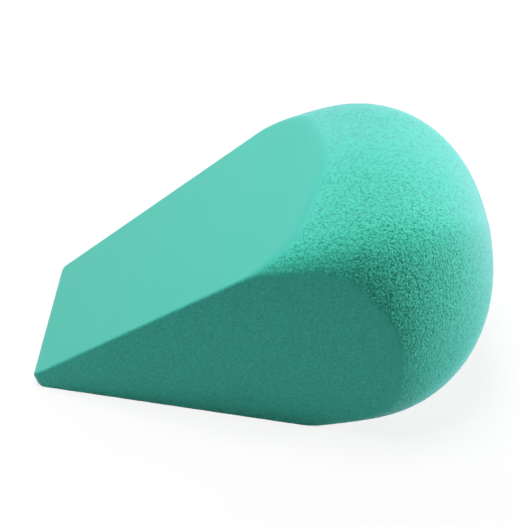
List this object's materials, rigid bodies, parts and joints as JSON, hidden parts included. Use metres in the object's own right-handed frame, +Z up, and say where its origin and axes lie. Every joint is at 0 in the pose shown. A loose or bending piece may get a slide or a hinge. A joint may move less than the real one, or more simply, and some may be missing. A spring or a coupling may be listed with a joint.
{
  "type": "makeup sponge",
  "caption": "Soft foam makeup sponge with a rounded, domed end and flat cut faces that narrow to a straight, rounded front edge.",
  "frame": {"origin": "under the middle of the sponge's bounding box, on the surface that it lies on", "axes": "+X along the sponge's length from the front edge to the domed end, +Y across it along the front edge, +Z up, out of the surface that the lower broad cut lies on"},
  "size_m": [0.0602, 0.0392, 0.0313],
  "materials": {
    "foam": "matte"
  },
  "bodies": {
    "root": {"foam_body": "foam"}
  },
  "joints": []
}
